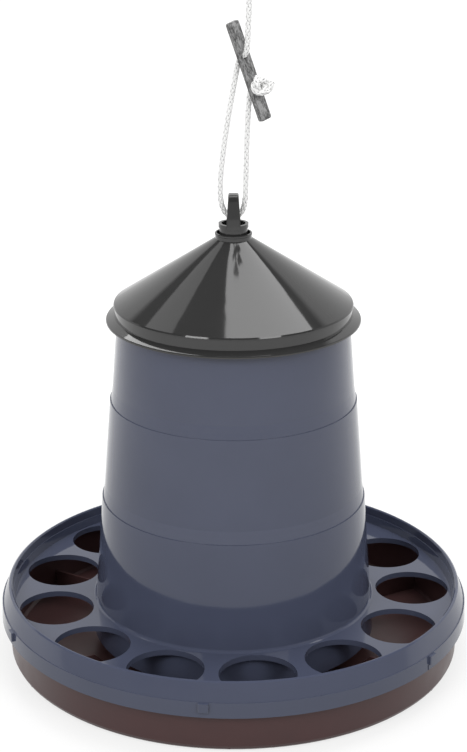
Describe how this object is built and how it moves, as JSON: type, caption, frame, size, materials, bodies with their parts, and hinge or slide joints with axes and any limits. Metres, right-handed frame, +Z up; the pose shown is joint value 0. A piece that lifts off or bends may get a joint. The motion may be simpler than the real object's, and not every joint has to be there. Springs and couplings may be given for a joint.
{
  "type": "poultry hopper feeder",
  "caption": "Hanging hopper feeder: tapered tube on a round dish with a holed feeding plate, conical lid, rope eye and rope tensioner.",
  "frame": {"origin": "centre of the dish's flat underside", "axes": "+Z up along the tube's axis, -Y towards the front, +X to the right"},
  "size_m": [0.402, 0.4036, 0.6188],
  "materials": {
    "dish_plastic": "satin moulded plastic, dark brown",
    "hopper_plastic": "glossy moulded plastic, slate blue-grey",
    "lid_plastic": "glossy moulded plastic, dark grey",
    "tensioner_plastic": "mottled recycled plastic, mid grey",
    "rope_fibre": "white braided cord"
  },
  "bodies": {
    "feeder": {"dish": "dish_plastic", "hopper": "hopper_plastic", "feed_ring": "hopper_plastic", "hanger": "lid_plastic", "rope": "rope_fibre", "stopper_knot": "rope_fibre", "top_knot": "rope_fibre", "top_loop": "rope_fibre", "tensioner": "tensioner_plastic"},
    "lid": {"lid": "lid_plastic"}
  },
  "joints": [
    {"name": "lid_lift", "type": "slide", "parent": "feeder", "child": "lid", "axis": [0, 0, 1], "range_m": [0, 0.08]}
  ]
}
